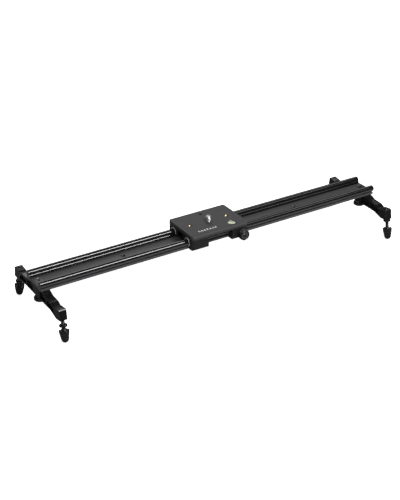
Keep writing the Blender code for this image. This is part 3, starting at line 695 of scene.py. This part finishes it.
def build_leg_washer(side, sign):
    low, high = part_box(f"leg_washer_{side}")
    profile = (in_mm([(3.4, 0), (6.65, 0), (6.8, 0.15)], up=low.z)
               + in_mm([(6.8, -0.25), (6.6, 0), (3.4, 0)], up=high.z))
    washer = lathe(f"leg_washer_{side}_stamped", profile, place_at(sign * LEG_X, 0, 0), 72,
                   loop=True)
    piece(washer, f"leg_washer_{side}", f"leg_washer_{side}", STEEL)


def build_leg_knob(side, sign):
    low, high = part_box(f"leg_knob_{side}")
    radius = (high.y - low.y) / 2 + 0.6 * MM
    bottom, top = low.z - 0.4 * MM, high.z
    profile = (in_mm([(0.0, 0.35), (3.8, 0.35), (4.1, 0.25), (4.4, 0.02)], up=bottom)
               + in_mm([(-1.7, 0), (-1.0, 0.18), (-0.25, 0.75, 0.25), (0, 1.3, 0.55)],
                       out=radius, up=bottom)
               + in_mm([(0, -2.1, 0.45), (-0.15, -1.6, 0.35), (-0.6, -0.95, 0.15),
                        (-1.2, -0.35), (-1.8, -0.05), (-2.1, 0)], out=radius, up=top)
               + in_mm([(3.25, 0), (3.1, -0.2)], up=top)
               + in_mm([(3.1, 1.0), (0.0, 1.0)], up=bottom))
    knob = lathe(f"leg_knob_{side}_moulded", profile, place_at(sign * LEG_X, 0, 0), 144,
                 wave=scallops(24))
    piece(knob, f"leg_knob_{side}", f"leg_knob_{side}", PLASTIC, 40.0)


for side, sign in SIDES:
    build_leg(side, sign)
    build_leg_washer(side, sign)
    build_leg_knob(side, sign)


# ---------------------------------------------------------------- the feet
# Profiles along the foot's axis: radius, height above the tip's origin, in mm
TIP_PROFILE = [
    (0.0, -0.36), (1.0, -0.34), (2.1, -0.19), (3.1, 0.22), (3.95, 0.90), (4.65, 1.80),
    (5.15, 2.85), (5.5, 4.0), (5.75, 5.2), (5.85, 6.2), (5.65, 6.4), (5.65, 6.7), (5.95, 6.9),
    (6.2, 8.2), (6.45, 9.9), (6.3, 10.3), (4.7, 10.4), (4.7, 14.6), (4.4, 14.8), (0.0, 14.8),
]
CUP_PROFILE = [
    (3.05, 15.1), (5.2, 15.1), (5.2, 10.9), (5.6, 10.7), (6.65, 10.75), (6.85, 11.0),
    (6.95, 11.6), (6.8, 11.9), (6.8, 12.2), (7.05, 12.5), (7.3, 14.6), (7.45, 15.5),
    (7.55, 16.0), (7.55, 17.4), (7.4, 17.8), (7.15, 18.1), (6.85, 18.35), (6.6, 18.4),
    (6.35, 18.2), (6.0, 17.2), (5.6, 16.8), (3.4, 16.8), (3.05, 16.7),
]
CUP_SEGMENTS = 96
# Lower edge of the nut: radius, height above its end, depth of the scallops, in mm
NUT_EDGE = [(3.15, 0.2, 0.0), (3.4, 0.0, 0.0), (5.0, 0.0, 0.0), (5.6, 0.35, 0.0),
            (5.95, 0.75, 0.30), (6.0, 1.2, 0.40)]
NUT_HEIGHT = 3.4 * MM


def castle(angle):
    """1 in the eight notches of the cup's rim, 0 between them."""
    phase = (angle * 8 / (2 * math.pi)) % 1.0
    return 1.0 if 0.30 < phase < 0.70 else 0.0


def build_foot_tip(tag, place):
    """A rubber bullet with moulded rings."""
    tip = lathe(f"foot_tip_{tag}_moulded", in_mm(TIP_PROFILE), place, 72)
    piece(tip, f"foot_tip_{tag}", f"foot_tip_{tag}", RUBBER, 40.0)


def build_foot_cup(tag, place):
    """A flared thumb wheel with a castellated rim, hollow round the stud."""
    rings = []
    for radius, height in CUP_PROFILE:
        ring = []
        for i in range(CUP_SEGMENTS):
            angle = 2 * math.pi * i / CUP_SEGMENTS
            dip = castle(angle)
            z = height - dip * max(0.0, height - 16.9) * 0.97
            reach = radius - 0.40 * dip if radius > 6.98 and height > 12.4 else radius
            ring.append((reach * MM * math.cos(angle), reach * MM * math.sin(angle), z * MM))
        rings.append(ring)
    cup = from_rings(f"foot_cup_{tag}_moulded", rings, place, loop=True)
    piece(cup, f"foot_screw_{tag}", f"foot_cup_{tag}", PLASTIC, 38.0)


def build_foot_stud(tag, place):
    bottom, top = 15.4 * MM, 51.4 * MM
    stud = threaded(f"foot_stud_{tag}_rolled", place, crest=2.85 * MM, root=2.35 * MM,
                    pitch=1.0 * MM, low=bottom + 2.0 * MM, high=top - 0.4 * MM, segments=32,
                    below=in_mm([(0.0, 0), (2.5, 0), (2.6, 0.2), (2.6, 1.7)], up=bottom),
                    above=in_mm([(2.3, -0.3), (1.9, 0), (0.0, 0)], up=top))
    carve(stud, hex_cutter(1.35 * MM, top - 1.8 * MM, top + 1 * MM, place))
    piece(stud, f"foot_screw_{tag}", f"foot_stud_{tag}", BLACK_STEEL, 40.0)


def build_foot_nut(tag, place):
    bottom = (29.6 if tag == "right_front" else 23.4) * MM
    upper_edge = [(radius, -height, depth) for radius, height, depth in reversed(NUT_EDGE)]
    profile = in_mm(NUT_EDGE, up=bottom) + in_mm(upper_edge, up=bottom + NUT_HEIGHT)
    nut = lathe(f"foot_nut_{tag}_moulded", profile, place, 108, loop=True, wave=scallops(18))
    piece(nut, f"foot_nut_{tag}", f"foot_nut_{tag}", PLASTIC, 40.0)


for side, sign in SIDES:
    for row, end in ROWS:
        for build_part in (build_foot_tip, build_foot_cup, build_foot_stud, build_foot_nut):
            build_part(f"{side}_{row}", foot_place(sign, end))


# -------------------------------------------------------- the carriage plate
def plate_outline():
    """The (Y, Z) outline; the top edge has a larger radius at the front than at the rear."""
    half, top, bottom = PLATE_HALF_WIDTH, PLATE_HIGH.z, PLATE_LOW.z
    front, rear, chamfer = 4.8 * MM, 2.2 * MM, 0.15 * MM
    return ([(0.0, bottom), (half - chamfer, bottom), (half, bottom + chamfer)]
            + arc(half - rear, top - rear, rear, 0.0, 90.0, 14)
            + arc(-half + front, top - front, front, 90.0, 180.0, 18)
            + [(-half, bottom + chamfer), (-half + chamfer, bottom)])


def plan_prism(left, right, front, rear, radii):
    """A tall block with rounded upright corners, anticlockwise from the left front one."""
    outline = rounded([(left, front), (right, front), (right, rear), (left, rear)], radii, 7)
    return from_rings("cutter", [[(x, y, z) for x, y in outline]
                                 for z in (SHAFT_Z - 30 * MM, SHAFT_Z + 30 * MM)])


def plate_cutters():
    low, top = PLATE_LOW.z, PLATE_HIGH.z
    camera_hole = (in_mm([(5.15, -2)], up=low)
                   + in_mm([(5.15, -0.5), (5.75, 0.05), (5.75, 2)], up=top))
    head_recess = in_mm([(8.6, -2), (8.6, 3.0)], up=low)
    rear_hole = (in_mm([(2.8, -2)], up=low)
                 + in_mm([(2.8, -0.25), (3.0, 0.05), (3.0, 2)], up=top))
    level_hole = (in_mm([(7.2, 10.4)], up=SHAFT_Z)
                  + in_mm([(7.2, -0.25), (7.5, 0.05), (7.5, 2)], up=top))
    insert_hole = (in_mm([(4.35, -2)], up=low)
                   + in_mm([(4.35, -0.9), (3.05, -0.85), (3.05, -0.3), (3.3, 0.05), (3.3, 2)],
                           up=top))
    cuts = [
        cutter(camera_hole, place_at(CARRIAGE_X, 0, 0), 64),
        cutter(head_recess, place_at(CARRIAGE_X, 0, 0), 64),
        cutter(rear_hole, place_at(CARRIAGE_X + 0.8 * MM, 24.7 * MM, 0), 40),
        cutter(level_hole, place_at(CARRIAGE_X + 27.2 * MM, -24.0 * MM, 0), 72),
    ]
    for _, sign in SIDES:
        cuts.append(cutter(insert_hole, place_at(CARRIAGE_X + sign * INSERT_X, 0, 0), 56))
    return cuts


def build_plate():
    low, high = PLATE_LOW, PLATE_HIGH
    plate = prism_x("carriage_plate_milled", plate_outline(), low.x - 2 * MM, high.x + 2 * MM)
    carve(plate, plan_prism(low.x, high.x, low.y - 3 * MM, high.y + 3 * MM, [0.0] * 4),
          operation="INTERSECT")
    carve(plate, plan_prism(low.x, high.x, low.y, high.y, [PLAN_RADIUS] * 4),
          operation="INTERSECT")
    round_edges(plate, 0.5 * MM, segments=3)
    carve(plate, *plate_cutters())
    piece(plate, "carriage", "carriage_plate", PLATE, 30.0)


def build_index_marks():
    """A row of printed ticks on the plate, and a line along their front ends."""
    thickness = 0.04 * MM
    work = bmesh.new()
    for i in range(7):
        x = CARRIAGE_X - 31.2 * MM + i * 5.0 * MM
        length = (3.2 if i % 3 == 0 else 2.2) * MM
        add_box(work, (x, -24.6 * MM + length / 2, PLATE_HIGH.z), (0.9 * MM, length, thickness))
    add_box(work, (CARRIAGE_X - 16.2 * MM, -25.15 * MM, PLATE_HIGH.z),
            (31.0 * MM, 0.5 * MM, thickness))
    piece(finish_mesh("plate_index_marks", work), "carriage", None, INK)


build_plate()
build_index_marks()


# ------------------------------------------------- bearing housings, liners
CLAMP_AXIS = place_at(CLAMP_X, 0, SHAFT_Z, math.pi / 2)      # its height runs towards -Y


def housing_outline(row):
    """The (Y, Z) outline of a housing that wraps its shaft from the outer side."""
    top, low = PLATE_LOW.z - 0.02 * MM, SHAFT_Z - 9.2 * MM
    corner, wall = 3.2 * MM, PLATE_HALF_WIDTH
    points = [(wall, top)]
    points += arc(wall - corner, low + corner, corner, 0, -90, 9)
    points += in_mm([(24.2, 0.0), (23.9, 0.3)], up=low)
    points += arc(SHAFT_Y, SHAFT_Z, 6.9 * MM, -54.0, 193.0, 40)
    points += in_mm([(12.4, -2.2), (8.8, -2.2), (8.2, -1.9), (8.0, -1.4)], up=SHAFT_Z)
    points.append((8.0 * MM, top))
    return in_row(points, row)


def band_outline(row, outer, inner):
    """An open band round the shaft."""
    return in_row(arc(SHAFT_Y, SHAFT_Z, outer, -49.0, 190.0, 44)
                  + arc(SHAFT_Y, SHAFT_Z, inner, 190.0, -49.0, 44), row)


def build_housing(row, side):
    clamp = (row, side) == ("front", "right")
    node = "clamp_housing" if clamp else f"bearing_housing_{row}_{side}"
    low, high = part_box(node)
    house = prism_x(f"{node}_milled", housing_outline(row), low.x - 1 * MM, high.x + 1 * MM)
    corners = [("left", "front"), ("right", "front"), ("right", "rear"), ("left", "rear")]
    radii = [PLAN_RADIUS if corner == (side, row) else 0.0 for corner in corners]
    front, rear = (low.y, 0.0) if row == "front" else (0.0, high.y)
    carve(house, plan_prism(low.x, high.x, front, rear, radii), operation="INTERSECT")
    round_edges(house, 0.35 * MM, segments=2)
    middle = (low.x + high.x) / 2
    screw_y = (-1 if row == "front" else 1) * HOUSING_SCREW_Y
    screw_hole = in_mm([(3.65, -12), (3.65, -4.4), (2.2, -4.38), (2.2, 12)], up=SHAFT_Z)
    cuts = [cutter(screw_hole, place_at(middle + sign * HOUSING_SCREW_X, screw_y, 0), 40)
            for _, sign in SIDES]
    if clamp:
        clamp_hole = in_mm([(3.0, 10), (3.0, 35.3), (3.7, 36.05), (3.7, 40)])
        cuts.append(cutter(clamp_hole, CLAMP_AXIS))
    carve(house, *cuts)
    piece(house, "carriage", node, HOUSING, 30.0)


def build_liner(row, side):
    """The liner, dark as painted shade for the gap round the shaft, and its light lip at the housing's
    outer end.
    """
    tag = f"{row}_{side}"
    low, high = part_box(f"bearing_liner_{tag}")
    lining = sweep_x(f"bearing_liner_{tag}_moulded", band_outline(row, 6.75 * MM, 5.25 * MM),
                     low.x, high.x, 0.15 * MM, rounds=2)
    if tag == "front_right":
        carve(lining, cutter(in_mm([(3.0, 20), (3.0, 30)]), CLAMP_AXIS, 40))
    piece(lining, "carriage", f"bearing_liner_{tag}", LINER_PAINTED_SHADE, 30.0)

    proud, sunk = 0.40 * MM, 0.28 * MM
    if side == "left":
        start, stop = low.x - proud, low.x + sunk
    else:
        start, stop = high.x - sunk, high.x + proud
    lip = sweep_x(f"liner_lip_{tag}", band_outline(row, 7.15 * MM, 6.45 * MM), start, stop,
                  0.14 * MM, rounds=2)
    piece(lip, "carriage", None, POLYMER, 30.0)


def build_housing_screw(tag):
    """A socket screw, its head below."""
    low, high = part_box(f"housing_screw_{tag}")
    place = place_at((low.x + high.x) / 2, (low.y + high.y) / 2, 0)
    head = in_mm([(0.0, 0.0), (2.9, 0.0), (3.25, 0.3), (3.3, 0.6), (3.3, 3.5), (3.1, 3.6),
                  (1.9, 3.6), (1.9, 7.6), (1.55, 8.0)], up=low.z)
    bolt = threaded(f"housing_screw_{tag}_turned", place, crest=1.9 * MM, root=1.55 * MM,
                    pitch=0.7 * MM, low=low.z + 8.0 * MM, high=high.z - 0.3 * MM, segments=28,
                    per=5, below=head, above=in_mm([(1.5, -0.2), (1.3, 0), (0, 0)], up=high.z))
    carve(bolt, cutter(in_mm([(1.55, -1), (1.55, 1.9), (0.3, 2.4)], up=low.z), place, 6))
    piece(bolt, "carriage", f"housing_screw_{tag}", BLACK_STEEL, 35.0)


for row, _ in ROWS:
    for side, _ in SIDES:
        build_housing(row, side)
        build_liner(row, side)
        for number in (1, 2):
            build_housing_screw(f"{row}_{side}_{number}")


# ------------------------------------------------ inserts and camera screw
def build_thread_insert(side, sign):
    """A brass insert with a real thread inside."""
    low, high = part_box(f"thread_insert_{side}")
    outside = (in_mm([(3.1, 0), (3.35, -0.1), (3.45, -0.55), (4.2, -0.6)], up=high.z)
               + in_mm([(4.2, 0.2), (4.0, 0), (3.3, 0)], up=low.z))
    insert = threaded(f"thread_insert_{side}_turned",
                      place_at(CARRIAGE_X + sign * INSERT_X, 0, 0), crest=2.55 * MM,
                      root=3.05 * MM, pitch=1.27 * MM, low=low.z, high=high.z, segments=48,
                      above=outside, loop=True)
    piece(insert, "carriage", f"thread_insert_{side}", BRASS, 35.0)


def build_camera_screw():
    """3/8 inch camera screw: slotted head below, shank, real thread, chamfered tip."""
    low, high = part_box("camera_screw")
    radius = 4.75 * MM
    head = in_mm([(0.0, 0.0), (7.6, 0.0), (8.1, 0.5), (8.15, 2.9), (7.8, 3.3), (4.2, 3.35),
                  (3.8, 3.7), (3.8, 5.0)], up=low.z)
    tip = (in_mm([(-0.9, -0.55), (-1.5, 0.0)], out=radius, up=high.z)
           + in_mm([(1.9, 0.0), (1.6, -0.35), (0.0, -0.75)], up=high.z))
    screw = threaded("camera_screw_turned", place_at(CARRIAGE_X, 0, 0), crest=radius,
                     root=radius - 0.85 * MM, pitch=1.588 * MM, low=low.z + 5.2 * MM,
                     high=high.z - 0.7 * MM, segments=64, per=8, below=head, above=tip)
    slot = bmesh.new()
    add_box(slot, (CARRIAGE_X, 0, low.z - 0.1 * MM), (20 * MM, 1.8 * MM, 2.6 * MM))
    carve(screw, finish_mesh("cutter", slot))
    piece(screw, "camera_screw", "camera_screw", STEEL_SCREW, 38.0)


for side, sign in SIDES:
    build_thread_insert(side, sign)
build_camera_screw()


# ---------------------------------------------------------- the bubble level
def build_level():
    """Body, liquid, target ring, bubble and lens; heights from the floor, the shafts or the top."""
    low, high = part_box("level_body")
    x, y = (low.x + high.x) / 2, (low.y + high.y) / 2
    floor, top = low.z, PLATE_HIGH.z
    place = place_at(x, y, 0)

    body = (in_mm([(0.0, 0.0), (6.8, 0.0), (7.0, 0.2)], up=floor)
            + in_mm([(7.0, 0.05), (6.85, 0.28), (6.5, 0.3), (6.33, 0.1)], up=top)
            + in_mm([(6.3, 0.6), (0.0, 0.55)], up=floor))
    piece(lathe("level_body_moulded", body, place, 96),
          "carriage", "level_body", PLASTIC, 35.0)

    liquid = (in_mm([(0.0, 0.75), (5.8, 0.75), (6.1, 1.0)], up=floor)
              + in_mm([(6.1, 12.75), (5.9, 12.95), (2.6, 13.0), (1.8, 12.8), (0.0, 12.7)],
                      up=SHAFT_Z))
    piece(lathe("level_fluid_filled", liquid, place, 72),
          "carriage", "level_fluid", FLUID, 40.0)

    target = in_mm([(2.95, 13.02), (3.30, 13.02), (3.30, 13.12), (2.95, 13.12)], up=SHAFT_Z)
    piece(lathe("level_target_ring", target, place, 72, loop=True),
          "carriage", None, PLASTIC)

    bubble = in_mm([(0.0, 12.78), (1.1, 12.82), (1.9, 12.98), (2.05, 13.08), (1.7, 13.18),
                    (0.9, 13.23), (0.0, 13.25)], up=SHAFT_Z)
    piece(lathe("level_bubble", bubble, place_at(x + 0.25 * MM, y + 0.15 * MM, 0), 48),
          "carriage", None, LENS, 60.0)

    lens = (in_mm([(0.0, 13.32), (6.0, 13.32), (6.22, 13.5)], up=SHAFT_Z)
            + in_mm([(6.22, 0.02), (5.6, 0.26), (4.2, 0.42), (2.4, 0.55), (0.0, 0.60)], up=top))
    piece(lathe("level_lens_domed", lens, place, 72),
          "carriage", "level_lens", LENS, 60.0)


build_level()


# ----------------------------------------- the clamp: heights run towards -Y
def build_clamp_pad():
    profile = in_mm([(0.0, 25.5), (2.1, 25.5), (2.55, 25.85), (2.7, 26.2), (2.7, 27.8),
                     (2.5, 28.0), (0.0, 28.0)])
    piece(lathe("clamp_pad_turned", profile, CLAMP_AXIS, 56),
          "clamp_pad", "clamp_pad", BRASS, 35.0)


def build_clamp_screw():
    """The screw is bright, and black at its outer end."""
    outer_end = in_mm([(2.3, 46.7), (2.6, 47.0), (2.6, 48.0), (2.2, 48.4), (0.0, 48.5)])
    rod = threaded("clamp_screw_rolled", CLAMP_AXIS, crest=2.75 * MM, root=2.3 * MM,
                   pitch=1.0 * MM, low=28.9 * MM, high=46.5 * MM, segments=36,
                   below=in_mm([(0.0, 28.3), (1.9, 28.3), (2.3, 28.8)]), above=outer_end)
    piece(rod, "clamp_knob", "clamp_screw", [STEEL_CROSS, BLACK_STEEL], 40.0,
          lambda centre, normal: int(centre.y < -46.0 * MM))


def knob_pick(centre, normal):
    """The knob's front face inside its rim is paler."""
    distance = math.hypot(centre.x - CLAMP_X, centre.z - SHAFT_Z)
    return int(normal.y < -0.5 and distance < 6.1 * MM)


def build_clamp_knob():
    low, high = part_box("clamp_knob")
    radius = (high.x - low.x) / 2 + 0.55 * MM
    profile = (in_mm([(2.95, 37.1), (3.2, 36.9), (4.6, 36.9), (5.0, 37.3), (5.0, 39.6),
                      (5.3, 40.1), (6.9, 40.4)])
               + in_mm([(-0.4, 40.9, 0.15), (0.0, 41.6, 0.5), (0.0, 47.7, 0.5),
                        (-0.3, 48.5, 0.2), (-0.9, 49.0)], out=radius)
               + in_mm([(6.3, 49.0), (6.0, 48.7), (5.9, 48.3), (3.6, 48.15), (3.2, 48.4),
                        (2.95, 48.3)]))
    knob = lathe("clamp_knob_moulded", profile, CLAMP_AXIS, 144, loop=True, wave=scallops(24))
    piece(knob, "clamp_knob", "clamp_knob", [PLASTIC, KNOB_FACE], 40.0,
          knob_pick)


build_clamp_pad()
build_clamp_screw()
build_clamp_knob()


# ------------------------------------------------------ floor, light, camera
def floor_material(colour, gloss_colour, rough, specular, glow):
    """Floor paint, dimmed to gloss_colour in reflections.

    The camera also sees it glow, so that only a trace of shadow stays on it."""
    material = bpy.data.materials.new("floor_paint")
    material.use_nodes = True
    tree = material.node_tree
    path = add_node(tree, "ShaderNodeLightPath")
    base = mix(tree, path.outputs["Is Glossy Ray"], colour, gloss_colour)
    seen = add_node(tree, "ShaderNodeMath", {0: path.outputs["Is Camera Ray"], 1: glow},
                    operation="MULTIPLY")
    feed(tree, tree.nodes["Principled BSDF"],
         {"Roughness": rough, "Specular IOR Level": specular, "Base Color": base,
          "Emission Color": (1, 1, 1, 1), "Emission Strength": seen.outputs[0]})
    return material


def build_floor():
    work = bmesh.new()
    bmesh.ops.create_grid(work, x_segments=8, y_segments=8, size=7.0)
    floor = finish_mesh("floor", work, place_at(0, 0, -0.05 * MM))
    floor.data.materials.append(floor_material(
        colour=(0.93, 0.93, 0.93), gloss_colour=(0.13, 0.13, 0.13), rough=0.9, specular=0.1,
        glow=0.72))


def build_world(seen, fill, reflected):
    """White surroundings, with a strength each for the camera, for fill light and in gloss."""
    world = bpy.data.worlds.new("studio")
    SCENE.world = world
    world.use_nodes = True
    tree = world.node_tree
    tree.nodes.clear()
    output = add_node(tree, "ShaderNodeOutputWorld")
    path = add_node(tree, "ShaderNodeLightPath")
    seen, fill, reflected = [
        add_node(tree, "ShaderNodeBackground", {"Color": (1, 1, 1, 1), "Strength": strength})
        for strength in (seen, fill, reflected)]
    gloss = add_node(tree, "ShaderNodeMixShader",
                     {0: path.outputs["Is Glossy Ray"], 1: fill.outputs[0],
                      2: reflected.outputs[0]})
    final = add_node(tree, "ShaderNodeMixShader",
                     {0: path.outputs["Is Camera Ray"], 1: gloss.outputs[0], 2: seen.outputs[0]})
    feed(tree, output, {"Surface": final.outputs[0]})


def softbox(name, centre, target, width, height, power):
    """A rectangular light aimed at target, its width kept level along the rail."""
    data = bpy.data.lights.new(name, "AREA")
    data.shape = "RECTANGLE"
    data.size = width
    data.size_y = height
    data.energy = power
    obj = bpy.data.objects.new(name, data)
    SCENE.collection.objects.link(obj)
    obj.location = centre
    z = -(Vector(target) - Vector(centre)).normalized()
    x = Vector((1, 0, 0))
    x = (x - z * x.dot(z)).normalized()
    y = z.cross(x)
    obj.rotation_mode = "QUATERNION"
    obj.rotation_quaternion = Matrix((x, y, z)).transposed().to_quaternion()


def build_camera(location, pitch, yaw, lens):
    """pitch is downwards from level and yaw is from +Y towards +X, in radians."""
    data = bpy.data.cameras.new("camera")
    data.sensor_width = 36.0
    data.lens = lens
    data.clip_start = 0.05
    data.clip_end = 50.0
    camera = bpy.data.objects.new("camera", data)
    SCENE.collection.objects.link(camera)
    camera.location = location
    forward = Vector((math.sin(yaw) * math.cos(pitch), math.cos(yaw) * math.cos(pitch),
                      -math.sin(pitch)))
    camera.rotation_mode = "QUATERNION"
    camera.rotation_quaternion = forward.to_track_quat("-Z", "Y")
    SCENE.camera = camera


build_floor()
build_world(seen=1.0, fill=0.34, reflected=0.05)
softbox("key_softbox", centre=(0.20, -0.98, 1.40), target=(0.20, 0.0, SHAFT_Z),
        width=1.24, height=0.26, power=28.0)
softbox("edge_softbox", centre=(1.15, -0.98, 1.40), target=(1.0, 0.0, SHAFT_Z),
        width=0.50, height=0.30, power=1.5)
softbox("left_strip", centre=(-1.30, -1.10, 0.75), target=(-0.28, 0.0, 0.03),
        width=0.16, height=0.70, power=1.6)
softbox("right_softbox", centre=(0.95, 0.75, 1.15), target=(0.28, 0.0, SHAFT_Z),
        width=0.60, height=0.60, power=2.0)
softbox("back_softbox", centre=(0.45, 1.75, 1.10), target=(-0.10, 0.0, SHAFT_Z),
        width=1.30, height=0.90, power=7.0)
build_camera(location=(-0.86828, -1.35937, 0.84116 + SHAFT_Z), pitch=0.49950, yaw=0.55744,
             lens=85.03)
SCENE.view_settings.view_transform = "Standard"
